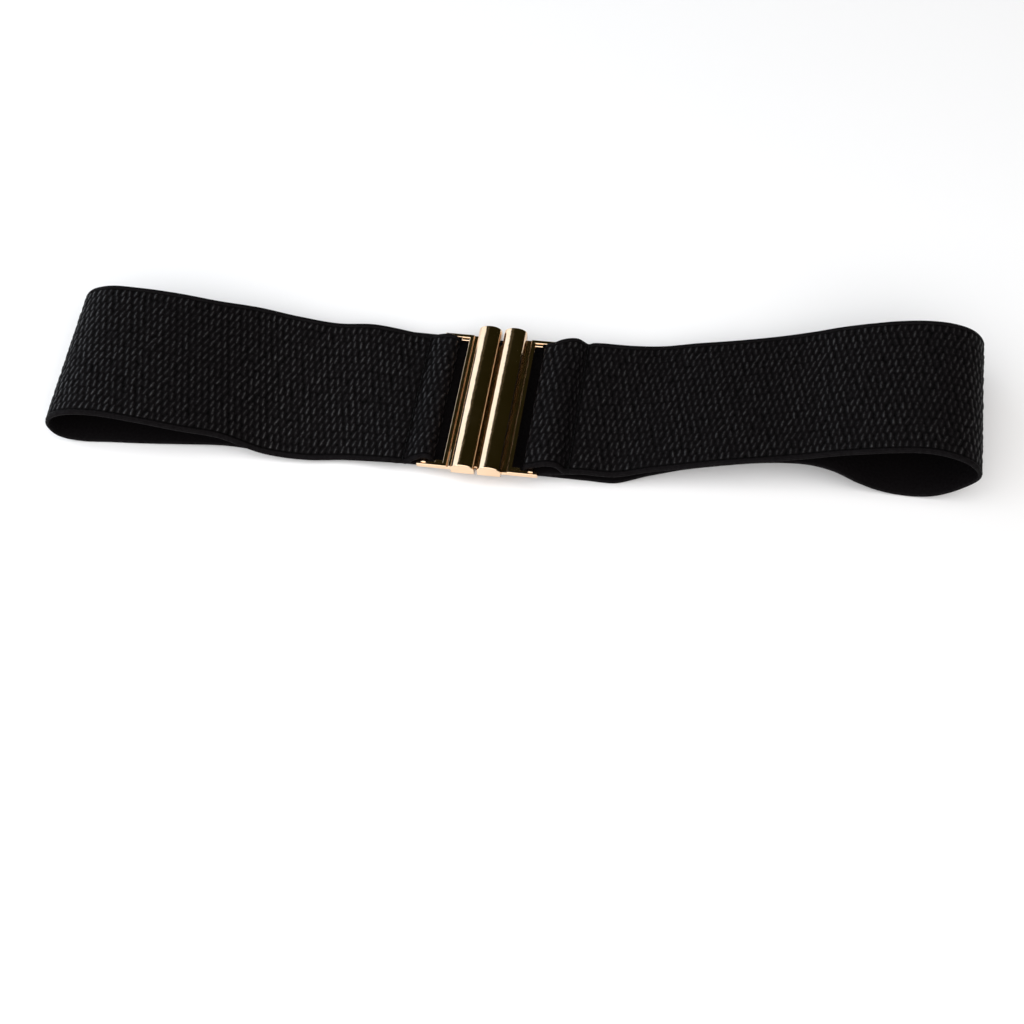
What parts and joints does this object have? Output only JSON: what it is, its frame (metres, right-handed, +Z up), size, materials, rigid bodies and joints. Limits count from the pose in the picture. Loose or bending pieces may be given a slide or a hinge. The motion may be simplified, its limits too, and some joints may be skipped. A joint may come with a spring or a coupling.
{
  "type": "elastic stretch belt",
  "caption": "Wide woven elastic stretch belt, fastened and folded flat, with an interlocking gold buckle of parallel half-round bars.",
  "frame": {"origin": "centre of the footprint, on the table that the folded belt lies on", "axes": "+X along the belt, +Y across its width away from the viewer, +Z up, out of the buckle's face"},
  "size_m": [0.3432, 0.0866, 0.0322],
  "materials": {
    "elastic": "matt black woven elastic with a slanted grain and smooth ribbed edges",
    "buckle_gold": "polished light gold plate on a zinc casting"
  },
  "bodies": {
    "root": {"elastic_band": "elastic", "buckle_left_half": "buckle_gold", "buckle_right_half": "buckle_gold"}
  },
  "joints": []
}
